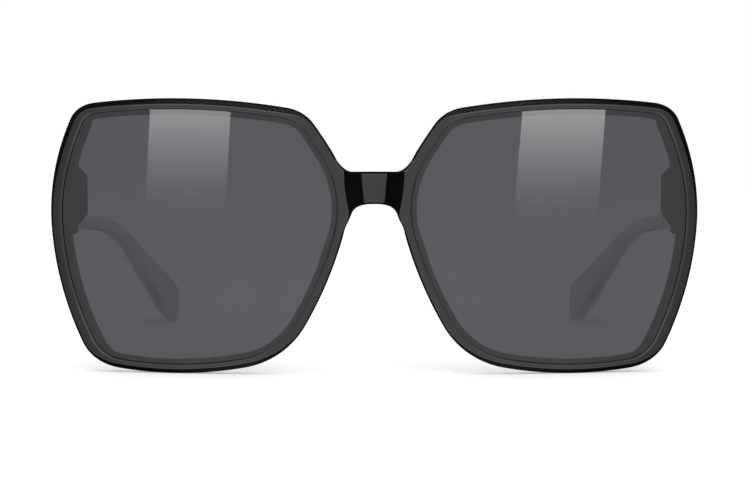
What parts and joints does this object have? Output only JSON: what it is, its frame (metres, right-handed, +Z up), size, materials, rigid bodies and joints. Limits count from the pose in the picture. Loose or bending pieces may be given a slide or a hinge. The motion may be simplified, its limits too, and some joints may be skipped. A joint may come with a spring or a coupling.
{
  "type": "sunglasses",
  "caption": "Square oversize sunglasses: glossy black bowed front, tinted lenses, and slim temples that fold in on screwed barrel hinges.",
  "frame": {"origin": "on the surface the sunglasses stand on, under the middle of the whole part", "axes": "+Z up, -Y is where the front faces, +Y runs back along the open temples, +X is the wearer's left"},
  "size_m": [0.1456, 0.1446, 0.0613],
  "materials": {
    "black_acetate": "polished black acetate",
    "grey_lens": "polished, dark grey tint with a hint of violet",
    "hinge_metal": "satin nickel silver"
  },
  "bodies": {
    "front": {"front_frame": "black_acetate", "left_lens": "grey_lens", "left_nose_pad": "black_acetate", "left_front_hinge": "hinge_metal", "left_front_hinge_lower_screw": "hinge_metal", "left_front_hinge_upper_screw": "hinge_metal", "left_hinge_screw": "hinge_metal", "right_lens": "grey_lens", "right_nose_pad": "black_acetate", "right_front_hinge": "hinge_metal", "right_front_hinge_lower_screw": "hinge_metal", "right_front_hinge_upper_screw": "hinge_metal", "right_hinge_screw": "hinge_metal"},
    "left_arm": {"left_temple": "black_acetate", "left_temple_hinge": "hinge_metal", "left_temple_hinge_lower_screw": "hinge_metal", "left_temple_hinge_upper_screw": "hinge_metal", "left_core_wire": "hinge_metal"},
    "right_arm": {"right_temple": "black_acetate", "right_temple_hinge": "hinge_metal", "right_temple_hinge_lower_screw": "hinge_metal", "right_temple_hinge_upper_screw": "hinge_metal", "right_core_wire": "hinge_metal"}
  },
  "joints": [
    {"name": "left_temple_fold", "type": "hinge", "parent": "front", "child": "left_arm", "pos_m": [0.06775, -0.05126, 0.0396], "axis": [0, 0, 1], "range_deg": [0, 87]},
    {"name": "right_temple_fold", "type": "hinge", "parent": "front", "child": "right_arm", "pos_m": [-0.06775, -0.05126, 0.0396], "axis": [0, 0, -1], "range_deg": [0, 81]}
  ]
}
